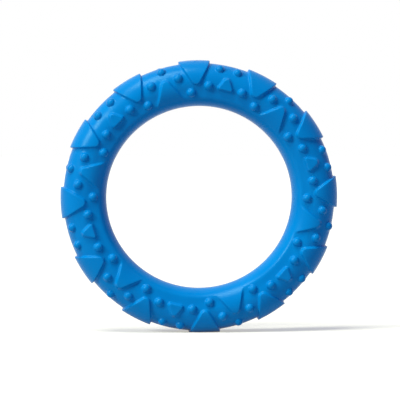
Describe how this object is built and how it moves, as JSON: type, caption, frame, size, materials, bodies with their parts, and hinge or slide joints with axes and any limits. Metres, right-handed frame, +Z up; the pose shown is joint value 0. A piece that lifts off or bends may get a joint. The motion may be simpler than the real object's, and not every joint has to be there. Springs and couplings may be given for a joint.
{
  "type": "ring chew toy",
  "caption": "Hollow rubber ring chew toy with triangular pads pointing inwards and outwards and round nubs on both faces, standing upright on its rim.",
  "frame": {"origin": "on the floor, below the centre of the upright ring", "axes": "+Y along the ring's axis, from the front face to the back face; +Z up; +X to the right as seen from the front"},
  "size_m": [0.151, 0.0254, 0.1479],
  "materials": {
    "blue_rubber": "satin"
  },
  "bodies": {
    "root": {"front_half": "blue_rubber", "back_half": "blue_rubber"}
  },
  "joints": []
}
